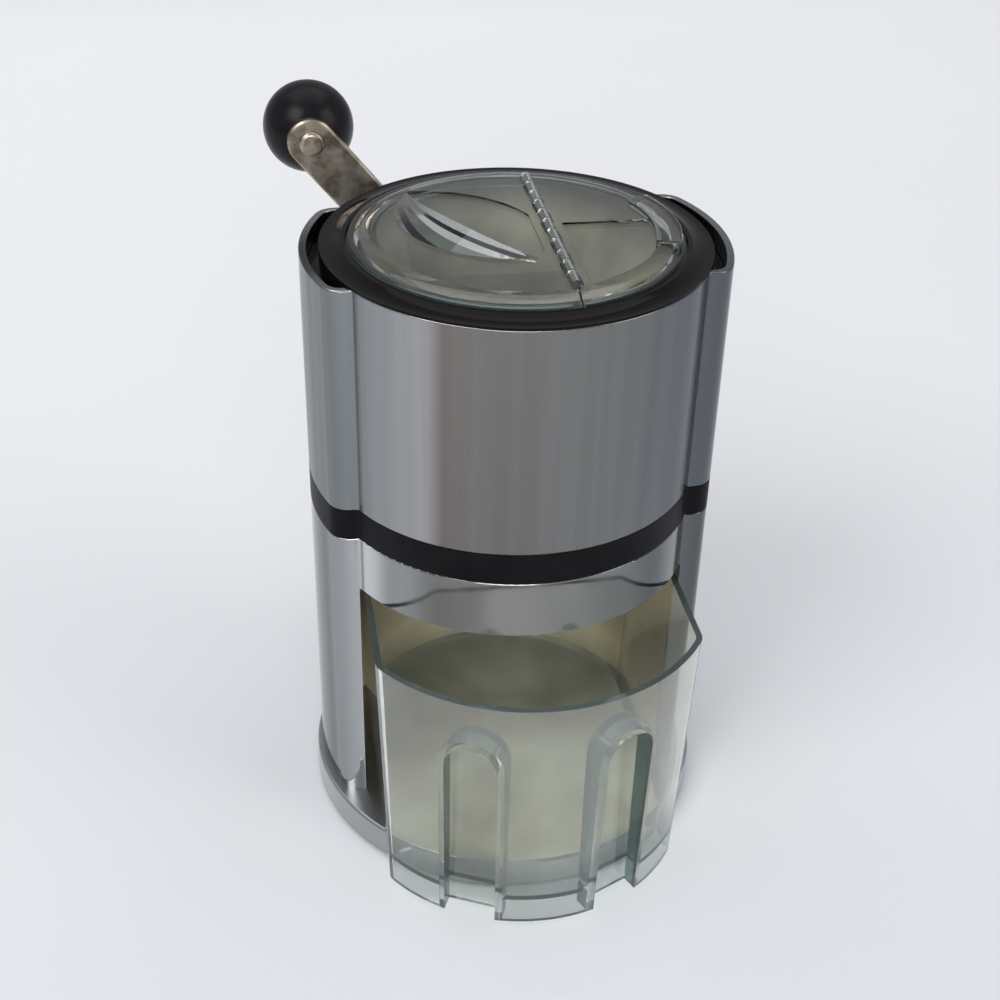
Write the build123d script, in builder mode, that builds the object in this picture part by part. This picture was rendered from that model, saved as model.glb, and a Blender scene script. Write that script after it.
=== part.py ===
"""Hand cranked ice crusher: a plated drum with side wings, a clear lid and a clear ice cup.

Millimetres, +Z up, front towards -Y. The origin is on the drum's axis at table height,
in the middle of the rubber pad that the crusher stands on.
"""
from build123d import *
from math import atan2, cos, degrees, hypot, radians, sin, sqrt
import os

os.makedirs("parts", exist_ok=True)

# ---------------------------------------------------------------- driving dimensions

# Clearances
fit_gap = 0.2          # between pieces that are pushed together
running_gap = 0.05     # radial, shafts in their bushes
slide_gap = 1.0        # the cup in its bay, the lid in its seat
overlap = 1.0          # how far a cutting tool runs past a face

# Plan of the body: a drum with a wing on each side
drum_radius = 60.0
wing_reach = 6.0       # the wings beyond the drum
wing_front = -28.8
wing_back = 33.0
wing_corner = 7.0
wing_root = 1.5
shell_wall = 2.4
sheet_edge = 0.5

# Heights, stacked up from the table
pad_stand = 1.5
plinth_height = 10.5
lower_height = 106.0
band_height = 10.5
upper_height = 74.7
plinth_top = pad_stand + plinth_height
band_bottom = plinth_top + lower_height
band_top = band_bottom + band_height
shell_top = band_top + upper_height

# Plinth, base plate and pad
plinth_reach = 2.0     # the plinth beyond the wings
plinth_centre = -3.0
plinth_wall = 2.5
plinth_edge = 1.2
base_plate_thickness = 3.0
pad_margin = 9.0       # from the pad's edge to the circle of the base screws
pad_thickness = 3.0

# Front opening and the bay behind it
skirt_drop = 19.4
opening_margin = 7.0   # from the drum's side to the opening
bay_wall = 1.2
bay_back_gap = 0.8
bay_top_gap = 0.5

# Ice cup
cup_front_centre = -31.0
cup_front_reach = 1.2  # the front's radius beyond the drum's
cup_side_gap = 1.6
cup_back_gap = 2.0
cup_corner = 7.0
cup_wall = 2.0
cup_taper = 2.0
cup_rim_gap = 3.6
cup_floor_gap = 0.3
cup_stand = 3.0
cup_skirt_gap = 1.2
flute_angle = 25.0
flute_width = 17.0
flute_depth = 9.0
flute_drop = 18.0      # from the rim to the top of each groove
flute_edge = 1.5

# Mid frame
frame_wall = 3.0
frame_deck = 3.0
frame_lip = 4.0
frame_lip_wall = 1.2

# Crushing chamber
chamber_side_gap = 32.0   # from the drum's side to the hollow
chamber_end_gap = 22.0    # from the drum's front to the hollow
chamber_wall = 2.5
chamber_drop = 18.5       # below the deck
chamber_rise = 47.5       # above the deck
chamber_corner = 3.0
chamber_flange = 4.0
flange_thickness = 2.0

# Rotor and its shaft
axle_height = 11.5     # above the band
shaft_square = 8.0
journal_radius = 4.0
crank_square = 6.4
thread_radius = 2.6
blade_count = 5
blade_thickness = 2.0
blade_end_gap = 9.2    # from the chamber's end to the middle of the outer blades
blade_tip_gap = 3.0
blade_hub = 8.5
prong_count = 3
prong_root = 10.0
prong_tip = 4.0
prong_hook = 5.0
blade_twist = 24.0
spacer_radius = 7.5
end_play = 0.3

# Fixed combs
comb_thickness = 2.4
comb_tip_gap = 3.5     # from a comb's tooth to the spacers
comb_height = 12.0
comb_plate = 2.0

# Bushes
bush_wall = 2.0
bush_flange = 2.5
bush_flange_thickness = 1.5
boss_radius = 13.0
boss_reach = 9.0

# Hopper
hopper_wall = 2.0
hopper_flange_gap = 0.4
hopper_flange_thickness = 2.2
hopper_spigot = 5.0

# Top ring
seat_height = 0.8
seat_ledge = 2.5
ring_width = 8.0
ring_crest_width = 1.4
ring_crest_height = 1.8
ring_edge_height = 0.7
ring_bow = 0.5
wing_sink = 6.0        # the wings' black floors, below the plated edge
wing_floor = 1.4

# Lid
lid_thickness = 2.0
lid_rise = 1.4
lid_rim_width = 1.8
lid_slope_width = 4.7
lid_skirt_drop = 3.0
lid_skirt_gap = 0.8
lid_shoulder_bow = -0.4
flap_line = 10.0
flap_gap = 0.6
hinge_margin = 1.4
knuckle_count = 11
knuckle_radius = 1.7
knuckle_gap = 0.4
pin_radius = 0.7
flap_bar_width = 8.0
flap_bar_inset = 0.8
flap_bar_angle = 2.0
flap_bar_sweep = 46.0
flap_bar_rise = 0.9
flap_bar_edge = 0.6
panel_depth = 0.7
panel_margin = 4.5
panel_edge = 1.5
panel_back = 3.0

# Grip on the lid: a crescent ridge along one side of a dish that two circles make
grip_centre = (-0.6, 13.1)
grip_radius = 35.0
grip_rise = 10.5
grip_start = 147.0
grip_sweep = 127.5
grip_crest_bow = 7.5
dish_centre = (-28.0, -3.0)
dish_radius = 36.0

# Crank
arm_gap = 0.5
arm_thickness = 3.5
arm_width = 16.0
arm_hub_width = 20.0
arm_edge = 0.6
arm_rise = 70.0
arm_run = 57.4
washer_radius = 8.5
washer_thickness = 1.0
nut_flats = 11.0
nut_height = 5.0
nut_dome = 3.0

# Knob and its spindle
knob_radius = 15.5
knob_flat = 13.6       # from the knob's centre to its flat face
knob_gap = 0.5
spindle_radius = 3.0
spindle_head_radius = 4.4
spindle_head_height = 1.8
spindle_length = 17.0
spindle_collar_radius = 3.6
spindle_collar_length = 2.5

# Screws
screw_radius = 1.5
screw_head_radius = 2.8
screw_head_height = 1.8
screw_bite = 8.0
boss_outer = 3.0
boss_tall = 26.0
rib_thickness = 1.8
wing_screw_inset = 7.1
wing_screw_y = 12.0
base_screw_inset = 13.0

# ---------------------------------------------------------------- worked out from these

wing_radius = drum_radius + wing_reach
plinth_radius = wing_radius + plinth_reach
wing_screw_circle = wing_radius - wing_screw_inset
base_screw_circle = plinth_radius - base_screw_inset
pad_radius = base_screw_circle - pad_margin
axle_z = band_top + axle_height
skirt_bottom = band_bottom - skirt_drop
cup_rim = skirt_bottom - cup_rim_gap
cup_floor = plinth_top + cup_floor_gap
flute_top = cup_rim - flute_drop
cup_front_radius = drum_radius + cup_front_reach
opening_half = drum_radius - opening_margin
bay_back_radius = drum_radius - shell_wall - bay_back_gap - bay_wall
cup_half = opening_half - cup_side_gap
cup_back_radius = bay_back_radius - cup_back_gap
deck_top = band_top - frame_lip
deck_bottom = deck_top - frame_deck
chamber_bottom = deck_top - chamber_drop
chamber_top = deck_top + chamber_rise
chamber_width = 2 * (drum_radius - chamber_side_gap)
chamber_length = 2 * (drum_radius - chamber_end_gap)
inner_length = chamber_length / 2
blade_radius = chamber_width / 2 - blade_tip_gap
blade_pitch = (chamber_length - 2 * blade_end_gap) / (blade_count - 1)
rotor_span = (blade_count - 1) * blade_pitch
comb_reach = chamber_width / 2 - spacer_radius - comb_tip_gap
ring_bottom = shell_top
wing_floor_z = shell_top - wing_sink
seat_radius = drum_radius - ring_width
seat_bore = seat_radius - seat_ledge
hopper_mouth = seat_bore
hopper_flange = drum_radius - shell_wall - hopper_flange_gap
lid_bottom = ring_bottom + seat_height
plateau_z = lid_bottom + lid_thickness + lid_rise
lid_radius = seat_radius - slide_gap
lid_shoulder = lid_radius - lid_rim_width
lid_plateau = lid_shoulder - lid_slope_width
lid_skirt_radius = seat_bore - lid_skirt_gap
hinge_length = 2 * (sqrt(lid_plateau**2 - flap_line**2) - hinge_margin)
boss_back = drum_radius + boss_reach
arm_front = boss_back + bush_flange_thickness + washer_thickness + arm_gap
arm_back = arm_front + arm_thickness
arm_length = hypot(arm_run, arm_rise)
arm_angle = degrees(atan2(arm_rise, -arm_run))
knob_pivot = (-arm_run, axle_z + arm_rise)
wing_middle = (wing_front + wing_back) / 2
wing_screw_x = sqrt(wing_screw_circle**2 - wing_screw_y**2)
wing_depth = wing_back - wing_front
bush_outer = journal_radius + running_gap + bush_wall


def facing_back(height, y=0.0):
    """A plane seen from behind: local x to the world's -X, local y up, extrudes towards +Y."""
    return Plane(origin=(0, y, height), x_dir=(-1, 0, 0), z_dir=(0, 1, 0))


def body_outline(inset=0.0):
    """Plan of the drum with its two wings, drawn in by inset."""
    with BuildSketch() as outline:
        with Locations((0, wing_middle)):
            Rectangle(3 * wing_radius, wing_depth - 2 * inset)
        Circle(wing_radius - inset, mode=Mode.INTERSECT)
        fillet(outline.vertices(), wing_corner - inset)
        Circle(drum_radius - inset)
        roots = [v for v in outline.vertices() if abs(hypot(v.X, v.Y) - drum_radius + inset) < 0.01]
        fillet(roots, wing_root + inset)
    return outline.sketch


def cup_outline(shrink=0.0):
    """Plan of the cup at its rim: straight sides, a bowed front and a round back."""
    with BuildSketch() as outline:
        Circle(cup_back_radius - shrink)
        with Locations((0, cup_front_centre)):
            Circle(cup_front_radius - shrink)
        Rectangle(2 * (cup_half - shrink), 4 * cup_front_radius, mode=Mode.INTERSECT)
        front = outline.vertices().group_by(Axis.Y)[0]
        fillet(front, cup_corner - shrink)
    return outline.sketch


def bay_outline(grow=0.0):
    """Plan of the cup's bay: straight sides from the opening back, then a round back."""
    half = opening_half + grow
    with BuildSketch() as outline:
        Circle(bay_back_radius + grow)
        Rectangle(2 * half, 4 * drum_radius, mode=Mode.INTERSECT)
        with Locations((0, wing_front / 2)):
            Rectangle(2 * half, -wing_front)
        with Locations((0, -drum_radius)):
            front = 2 * (drum_radius + wing_front + shell_wall + fit_gap)
            Rectangle(4 * drum_radius, front, mode=Mode.SUBTRACT)
    return outline.sketch


def wing_spots():
    """Where the screws and their bosses stand in the four corners of the wings."""
    return [(side * wing_screw_x, y) for side in (-1, 1) for y in (-wing_screw_y, wing_screw_y)]


def wing_ribs():
    """Plan of the ribs that tie the screw bosses to the wings' side walls."""
    with BuildSketch() as ribs:
        for x, y in wing_spots():
            tie = wing_radius - wing_screw_x - boss_outer + 1.5 * overlap
            side = 1 if x > 0 else -1
            with Locations((x + side * (boss_outer - overlap / 2 + tie / 2), y)):
                Rectangle(tie, rib_thickness)
        Circle(wing_radius - overlap, mode=Mode.INTERSECT)
    return ribs.sketch


def screw(head_z, length, up=1):
    """A pan head screw on the Z axis: its head's bearing face is at head_z."""
    with BuildPart() as one:
        with BuildSketch(Plane.XY.offset(head_z)):
            Circle(screw_radius)
        extrude(amount=up * length)
        with BuildSketch(Plane.XY.offset(head_z)):
            Circle(screw_head_radius)
        extrude(amount=-up * screw_head_height)
        fillet(one.edges().sort_by(Axis.Z)[0 if up > 0 else -1], 0.6)
        with BuildSketch(Plane.XY.offset(head_z - up * screw_head_height)):
            Rectangle(3.4, 0.8)
            Rectangle(0.8, 3.4)
        extrude(amount=up * 1.0, mode=Mode.SUBTRACT)
    return one.part


# ---------------------------------------------------------------- base

with BuildPart() as rest_pad:
    with BuildSketch():
        Circle(pad_radius)
    extrude(amount=pad_thickness)
    fillet(rest_pad.edges().group_by(Axis.Z)[0], 0.5)

with BuildPart() as base_plate:
    with BuildSketch(Plane.XY.offset(pad_stand)):
        with Locations((0, plinth_centre)):
            Circle(plinth_radius - plinth_wall - fit_gap)
    extrude(amount=base_plate_thickness)
    with BuildSketch(Plane.XY.offset(pad_stand)):
        Circle(pad_radius + fit_gap)
    extrude(amount=pad_thickness - pad_stand, mode=Mode.SUBTRACT)
    with Locations(Location((0, 0, pad_stand), (180, 0, 0))):
        with PolarLocations(base_screw_circle, 4, start_angle=45):
            CounterBoreHole(screw_radius + fit_gap, screw_head_radius + fit_gap, screw_head_height)

with BuildPart() as plinth:
    with BuildSketch(Plane.XY.offset(pad_stand)):
        with Locations((0, plinth_centre)):
            Circle(plinth_radius)
    extrude(amount=plinth_height)
    fillet(plinth.edges().group_by(Axis.Z)[-1], plinth_edge)
    with BuildSketch(Plane.XY.offset(pad_stand)):
        with Locations((0, plinth_centre)):
            Circle(plinth_radius - plinth_wall)
    extrude(amount=plinth_height - plinth_wall, mode=Mode.SUBTRACT)
    with BuildSketch(Plane.XY.offset(pad_stand + base_plate_thickness)):
        with PolarLocations(base_screw_circle, 4, start_angle=45):
            Circle(boss_outer)
            Circle(screw_radius + running_gap, mode=Mode.SUBTRACT)
    extrude(amount=plinth_height - plinth_wall - base_plate_thickness)
    with BuildSketch(Plane.XY.offset(plinth_top)):
        with Locations(*wing_spots()):
            Circle(screw_radius + fit_gap)
    extrude(amount=-plinth_wall, mode=Mode.SUBTRACT)

with BuildPart() as base_screws:
    with PolarLocations(base_screw_circle, 4, start_angle=45):
        add(screw(pad_stand + screw_head_height, plinth_height - plinth_wall - screw_head_height - end_play))

# ---------------------------------------------------------------- lower housing

with BuildPart() as lower_housing:
    with BuildSketch(Plane.XY.offset(plinth_top)):
        add(body_outline())
        add(body_outline(shell_wall), mode=Mode.SUBTRACT)
    extrude(amount=lower_height)
    fillet(lower_housing.edges().group_by(Axis.Z)[-1], sheet_edge)
    with BuildSketch(Plane.XY.offset(plinth_top)):
        with Locations((0, -drum_radius)):
            Rectangle(2 * opening_half, 2 * drum_radius)
    extrude(amount=skirt_bottom - plinth_top, mode=Mode.SUBTRACT)
    with BuildSketch(Plane.XY.offset(plinth_top)):
        with Locations(*wing_spots()):
            Circle(boss_outer)
        add(wing_ribs())
        with Locations(*wing_spots()):
            Circle(screw_radius + running_gap, mode=Mode.SUBTRACT)
    extrude(amount=boss_tall)

with BuildPart() as housing_screws:
    with Locations(*wing_spots()):
        add(screw(plinth_top - plinth_wall, plinth_wall + screw_bite))

with BuildPart() as bay_liner:
    with BuildSketch(Plane.XY.offset(plinth_top)):
        add(bay_outline(bay_wall))
        add(bay_outline(), mode=Mode.SUBTRACT)
    extrude(amount=band_bottom - frame_lip - bay_top_gap - plinth_top)

# ---------------------------------------------------------------- ice cup

cup_depth = cup_rim - cup_stand

with BuildPart() as cup_cavity:
    with BuildSketch(Plane.XY.offset(cup_rim)):
        add(cup_outline(cup_wall))
    extrude(amount=-cup_depth, taper=cup_taper)
    with BuildSketch(Plane.XY.offset(cup_floor)):
        Rectangle(4 * drum_radius, 4 * drum_radius)
    extrude(amount=cup_wall, mode=Mode.SUBTRACT)
    with BuildSketch(Plane.XY.offset(cup_stand)):
        with Locations((0, plinth_centre)):
            Circle(plinth_radius + cup_skirt_gap)
    extrude(amount=cup_floor - cup_stand, mode=Mode.SUBTRACT)


def flute(grow, reach):
    """The two upright grooves in the cup's front, each an arch on a leg, as a solid to add or cut."""
    half = flute_width / 2 + grow
    with BuildPart() as tool:
        for angle in (-flute_angle, flute_angle):
            turn = radians(angle - 90)
            start = cup_front_radius - flute_depth - grow
            foot = (start * cos(turn), cup_front_centre + start * sin(turn), 0)
            with BuildSketch(Plane(origin=foot, x_dir=(-sin(turn), cos(turn), 0), z_dir=(cos(turn), sin(turn), 0))):
                with Locations((0, (flute_top + grow - half) / 2)):
                    Rectangle(2 * half, flute_top + grow - half)
                with Locations((0, flute_top + grow - half)):
                    Circle(half)
            extrude(amount=reach)
    return tool.part


flute_reach = flute_depth + 4 * cup_wall

with BuildPart() as cup_hollow:
    add(cup_cavity.part)
    add(flute(cup_wall, flute_reach), mode=Mode.SUBTRACT)

with BuildPart() as ice_cup:
    with BuildSketch(Plane.XY.offset(cup_rim)):
        add(cup_outline())
    extrude(amount=-cup_depth, taper=cup_taper)
    with BuildSketch(Plane.XY.offset(cup_stand)):
        with Locations((0, plinth_centre)):
            Circle(plinth_radius + cup_skirt_gap)
        Rectangle(4 * drum_radius, 4 * drum_radius, align=(Align.CENTER, Align.MIN))
    extrude(amount=cup_floor - cup_stand, mode=Mode.SUBTRACT)
    add(cup_hollow.part, mode=Mode.SUBTRACT)
    add(flute(0, flute_reach), mode=Mode.SUBTRACT)

# ---------------------------------------------------------------- mid frame

with BuildPart() as mid_frame:
    with BuildSketch(Plane.XY.offset(band_bottom)):
        add(body_outline())
        add(body_outline(frame_wall), mode=Mode.SUBTRACT)
    extrude(amount=band_height)
    with BuildSketch(Plane.XY.offset(deck_bottom)):
        add(body_outline(frame_wall / 2))
    extrude(amount=frame_deck)
    with BuildSketch(Plane.XY.offset(band_bottom - frame_lip)):
        add(body_outline(shell_wall + fit_gap))
        add(body_outline(shell_wall + fit_gap + frame_lip_wall), mode=Mode.SUBTRACT)
    extrude(amount=band_height + 2 * frame_lip)
    with BuildSketch(Plane.XY.offset(deck_bottom)):
        Rectangle(chamber_width + 2 * chamber_wall + 2 * fit_gap, chamber_length + 2 * chamber_wall + 2 * fit_gap)
        with Locations(*wing_spots()):
            Circle(screw_radius + fit_gap)
    extrude(amount=frame_deck, mode=Mode.SUBTRACT)

# ---------------------------------------------------------------- upper shell

with BuildPart() as upper_shell:
    with BuildSketch(Plane.XY.offset(band_top)):
        add(body_outline())
        add(body_outline(shell_wall), mode=Mode.SUBTRACT)
    extrude(amount=upper_height)
    fillet(upper_shell.edges().group_by(Axis.Z)[0], sheet_edge)
    fillet(upper_shell.edges().group_by(Axis.Z)[-1], sheet_edge)
    with BuildSketch(Plane.XY.offset(deck_top)):
        with Locations(*wing_spots()):
            Circle(boss_outer)
            Circle(screw_radius + running_gap, mode=Mode.SUBTRACT)
    extrude(amount=boss_tall)
    with BuildSketch(Plane.XY.offset(band_top + frame_lip + overlap)):
        add(wing_ribs())
    extrude(amount=deck_top + boss_tall - band_top - frame_lip - overlap)
    with BuildSketch(facing_back(axle_z)):
        Circle(bush_outer + fit_gap)
    extrude(amount=2 * drum_radius, mode=Mode.SUBTRACT)

with BuildPart() as frame_screws:
    with Locations(*wing_spots()):
        add(screw(deck_bottom, frame_deck + screw_bite))

# ---------------------------------------------------------------- crushing chamber

with BuildPart() as crush_chamber:
    with BuildSketch(Plane.XY.offset(chamber_bottom)):
        Rectangle(chamber_width + 2 * chamber_wall, chamber_length + 2 * chamber_wall)
        Rectangle(chamber_width, chamber_length, mode=Mode.SUBTRACT)
    extrude(amount=chamber_top - chamber_bottom)
    with BuildSketch(Plane.XY.offset(deck_top)):
        rim = 2 * (chamber_wall + chamber_flange)
        RectangleRounded(chamber_width + rim, chamber_length + rim, chamber_corner)
        Rectangle(chamber_width, chamber_length, mode=Mode.SUBTRACT)
    extrude(amount=flange_thickness)
    with BuildSketch(facing_back(axle_z)):
        Circle(bush_outer + fit_gap)
    extrude(amount=chamber_length, both=True, mode=Mode.SUBTRACT)

tooth_spots = [(i - (blade_count - 2) / 2) * blade_pitch for i in range(blade_count - 1)]
combs = []
for side in (-1, 1):
    with BuildPart() as comb:
        plate_x = side * (chamber_width / 2 - comb_plate / 2)
        with BuildSketch(Plane.XY.offset(axle_z - comb_height / 2)):
            with Locations((plate_x, 0)):
                Rectangle(comb_plate, chamber_length)
        extrude(amount=comb_height)
        for y in tooth_spots:
            with BuildSketch(Plane.XZ.offset(-y)):
                with BuildLine():
                    wall_x = side * (chamber_width / 2 - comb_plate)
                    tip_x = side * (chamber_width / 2 - comb_reach)
                    Polyline(
                        (wall_x, axle_z + comb_height / 2),
                        (wall_x, axle_z - comb_height / 2),
                        (tip_x, axle_z - comb_height / 6),
                        (tip_x, axle_z + comb_height / 6),
                        close=True,
                    )
                make_face()
            extrude(amount=comb_thickness / 2, both=True)
    combs.append(comb)

# ---------------------------------------------------------------- bushes and boss


def bush(wall_inner_y, side, wall):
    """A flanged sleeve in one end wall of the chamber, its flange on the outside."""
    with BuildPart() as sleeve:
        with BuildSketch(facing_back(axle_z, wall_inner_y)):
            Circle(bush_outer)
        extrude(amount=side * (wall + bush_flange_thickness))
        with BuildSketch(facing_back(axle_z, wall_inner_y + side * wall)):
            Circle(bush_outer + bush_flange)
        extrude(amount=side * bush_flange_thickness)
        with BuildSketch(facing_back(axle_z, wall_inner_y)):
            Circle(journal_radius + running_gap)
        extrude(amount=2 * side * (wall + bush_flange_thickness), both=True, mode=Mode.SUBTRACT)
    return sleeve


front_bush = bush(-inner_length, -1, chamber_wall)
rear_bush = bush(inner_length, 1, chamber_wall)

with BuildPart() as rear_boss:
    with BuildSketch(facing_back(axle_z, drum_radius / 2)):
        Circle(boss_radius)
    extrude(amount=boss_back - drum_radius / 2)
    fillet(rear_boss.edges().group_by(Axis.Y)[-1], 1.5)
    with BuildSketch():
        Circle(drum_radius)
    extrude(amount=2 * axle_z, mode=Mode.SUBTRACT)
    with BuildSketch(facing_back(axle_z, drum_radius / 2)):
        Circle(bush_outer + fit_gap)
    extrude(amount=drum_radius, mode=Mode.SUBTRACT)

crank_bearing_front = drum_radius - shell_wall - 2.0

with BuildPart() as crank_bearing:
    with BuildSketch(facing_back(axle_z, crank_bearing_front)):
        Circle(bush_outer)
    extrude(amount=boss_back + bush_flange_thickness - crank_bearing_front)
    with BuildSketch(facing_back(axle_z, boss_back)):
        Circle(bush_outer + bush_flange)
    extrude(amount=bush_flange_thickness)
    with BuildSketch(facing_back(axle_z, crank_bearing_front)):
        Circle(journal_radius + running_gap)
    extrude(amount=boss_back, mode=Mode.SUBTRACT)

# ---------------------------------------------------------------- rotor

with BuildPart() as rotor_shaft:
    with BuildSketch(facing_back(axle_z, -inner_length + end_play)):
        Rectangle(shaft_square, shaft_square)
    extrude(amount=chamber_length - 2 * end_play)
    with BuildSketch(facing_back(axle_z, -inner_length - chamber_wall - bush_flange_thickness)):
        Circle(journal_radius)
    extrude(amount=inner_length)
    with BuildSketch(facing_back(axle_z, inner_length - end_play)):
        Circle(journal_radius)
    extrude(amount=arm_front - inner_length + end_play)
    with BuildSketch(facing_back(axle_z, arm_front)):
        Rectangle(crank_square, crank_square)
        Circle(journal_radius, mode=Mode.INTERSECT)
    extrude(amount=arm_thickness - end_play)
    with BuildSketch(facing_back(axle_z, arm_front)):
        Circle(thread_radius)
    extrude(amount=arm_thickness + washer_thickness + nut_height)

square_hole = shaft_square + 2 * running_gap


def prong_face():
    """One hooked prong, from the middle of the hub out along X."""
    with BuildSketch() as prong:
        with BuildLine():
            Polyline(
                (0, -prong_root / 2),
                (blade_radius - 3, -prong_tip / 2),
                (blade_radius - 1, prong_hook - prong_tip / 2),
                (blade_radius - 4, prong_hook),
                (blade_radius - 7, prong_tip / 2),
                (0, prong_root / 2),
                close=True,
            )
        make_face()
    return prong.sketch


def blade_face():
    """One blade: a hub with its prongs all round."""
    with BuildSketch() as face:
        Circle(blade_hub)
        for i in range(prong_count):
            add(prong_face(), rotation=i * 360 / prong_count)
    return face.sketch


blades = []
for i in range(blade_count):
    y = i * blade_pitch - rotor_span / 2 - blade_thickness / 2
    with BuildPart() as blade:
        with BuildSketch(facing_back(axle_z, y)):
            add(blade_face(), rotation=i * blade_twist)
            Rectangle(square_hole, square_hole, mode=Mode.SUBTRACT)
        extrude(amount=blade_thickness)
    blades.append(blade)

spacer_length = blade_pitch - blade_thickness - 2 * running_gap

with BuildPart() as blade_spacers:
    for i in range(blade_count - 1):
        y = i * blade_pitch - rotor_span / 2 + blade_thickness / 2 + running_gap
        with BuildSketch(facing_back(axle_z, y)):
            Circle(spacer_radius)
            Rectangle(square_hole, square_hole, mode=Mode.SUBTRACT)
        extrude(amount=spacer_length)

# ---------------------------------------------------------------- hopper

with BuildPart() as hopper:
    with BuildSketch(Plane.XY.offset(chamber_top)):
        RectangleRounded(chamber_width + 2 * hopper_wall, chamber_length + 2 * hopper_wall, chamber_corner)
    with BuildSketch(Plane.XY.offset(ring_bottom - hopper_flange_thickness)):
        Circle(hopper_mouth + hopper_wall)
    loft()
    with BuildSketch(Plane.XY.offset(ring_bottom - hopper_flange_thickness)):
        Circle(hopper_flange)
    extrude(amount=hopper_flange_thickness)
    with BuildSketch(Plane.XY.offset(chamber_top)):
        RectangleRounded(chamber_width, chamber_length, chamber_corner - hopper_wall / 2)
    with BuildSketch(Plane.XY.offset(ring_bottom - hopper_flange_thickness)):
        Circle(hopper_mouth)
    loft(mode=Mode.SUBTRACT)
    with BuildSketch(Plane.XY.offset(ring_bottom)):
        Circle(seat_radius - fit_gap)
    extrude(amount=seat_height)
    with BuildSketch(Plane.XY.offset(ring_bottom - hopper_flange_thickness)):
        Circle(seat_bore)
    extrude(amount=hopper_flange_thickness + seat_height, mode=Mode.SUBTRACT)
    with BuildSketch(Plane.XY.offset(chamber_top)):
        rim = 2 * (chamber_wall + fit_gap)
        RectangleRounded(chamber_width + rim + 2 * hopper_wall, chamber_length + rim + 2 * hopper_wall, chamber_corner)
        Rectangle(chamber_width + rim, chamber_length + rim, mode=Mode.SUBTRACT)
    extrude(amount=-hopper_spigot)
    with BuildSketch(Plane.XY.offset(chamber_top)):
        RectangleRounded(chamber_width + rim + 2 * hopper_wall, chamber_length + rim + 2 * hopper_wall, chamber_corner)
        RectangleRounded(chamber_width, chamber_length, chamber_corner - hopper_wall / 2, mode=Mode.SUBTRACT)
    extrude(amount=hopper_wall)

# ---------------------------------------------------------------- top ring

with BuildPart() as top_ring:
    crest_radius = seat_radius + ring_crest_width
    with BuildSketch(Plane.XZ):
        with BuildLine():
            Polyline(
                (crest_radius, ring_bottom + ring_crest_height),
                (seat_radius, ring_bottom + ring_crest_height),
                (seat_radius, ring_bottom),
                (drum_radius, ring_bottom),
                (drum_radius, ring_bottom + ring_edge_height),
            )
            SagittaArc(
                (drum_radius, ring_bottom + ring_edge_height),
                (crest_radius, ring_bottom + ring_crest_height),
                ring_bow,
            )
        make_face()
    revolve(axis=Axis.Z)
    with BuildSketch(Plane.XY.offset(wing_floor_z)):
        add(body_outline(shell_wall + fit_gap))
        Circle(drum_radius - shell_wall, mode=Mode.SUBTRACT)
    extrude(amount=-wing_floor)
    with BuildSketch(Plane.XY.offset(wing_floor_z)):
        add(body_outline(shell_wall + fit_gap))
        Circle(drum_radius, mode=Mode.INTERSECT)
        Circle(drum_radius - shell_wall, mode=Mode.SUBTRACT)
    extrude(amount=wing_sink)

# ---------------------------------------------------------------- lid

hinge_z = plateau_z
hinge_front = -hinge_length / 2
knuckle_pitch = hinge_length / knuckle_count
cone_rise = grip_rise * (grip_radius + 2 * lid_thickness) / grip_radius


def lid_disc(side):
    """One side of the round lid: rim, shoulder and plateau, parted along the flap's hinge line."""
    with BuildPart() as disc:
        with BuildSketch(Plane.XZ):
            with BuildLine():
                Polyline(
                    (lid_plateau, plateau_z),
                    (0, plateau_z),
                    (0, plateau_z - lid_thickness),
                    (lid_plateau - lid_thickness, plateau_z - lid_thickness),
                    (lid_skirt_radius - lid_thickness, lid_bottom),
                    (lid_radius, lid_bottom),
                    (lid_radius, lid_bottom + lid_thickness),
                    (lid_shoulder, lid_bottom + lid_thickness),
                )
                SagittaArc(
                    (lid_shoulder, lid_bottom + lid_thickness),
                    (lid_plateau, plateau_z),
                    lid_shoulder_bow,
                )
            make_face()
        revolve(axis=Axis.Z)
        with BuildSketch(Plane.XY.offset(lid_bottom - overlap)):
            with Locations((flap_line - side * (lid_radius - flap_gap / 2), 0)):
                Rectangle(2 * lid_radius, 4 * lid_radius)
        extrude(amount=2 * lid_rise + 4 * lid_thickness, mode=Mode.SUBTRACT)
    return disc.part


def knuckles(first, radius, gap):
    """Every second knuckle of the flap's hinge, from the first or the second one on."""
    with BuildPart() as row:
        for i in range(first, knuckle_count, 2):
            with BuildSketch(facing_back(hinge_z, hinge_front + i * knuckle_pitch + gap / 2)):
                with Locations((-flap_line, 0)):
                    Circle(radius)
            extrude(amount=knuckle_pitch - gap)
    return row.part


with BuildPart() as grip:
    with BuildSketch(Plane.XY.offset(plateau_z - lid_thickness / 2)):
        with BuildLine():
            foot = CenterArc(grip_centre, grip_radius, grip_start, grip_sweep)
            SagittaArc(foot @ 1, foot @ 0, grip_crest_bow)
        make_face()
    extrude(amount=grip_rise)
    with Locations((*grip_centre, plateau_z + grip_rise - cone_rise / 2)):
        Cone(grip_radius * cone_rise / grip_rise, 0, cone_rise, mode=Mode.INTERSECT)

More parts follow.
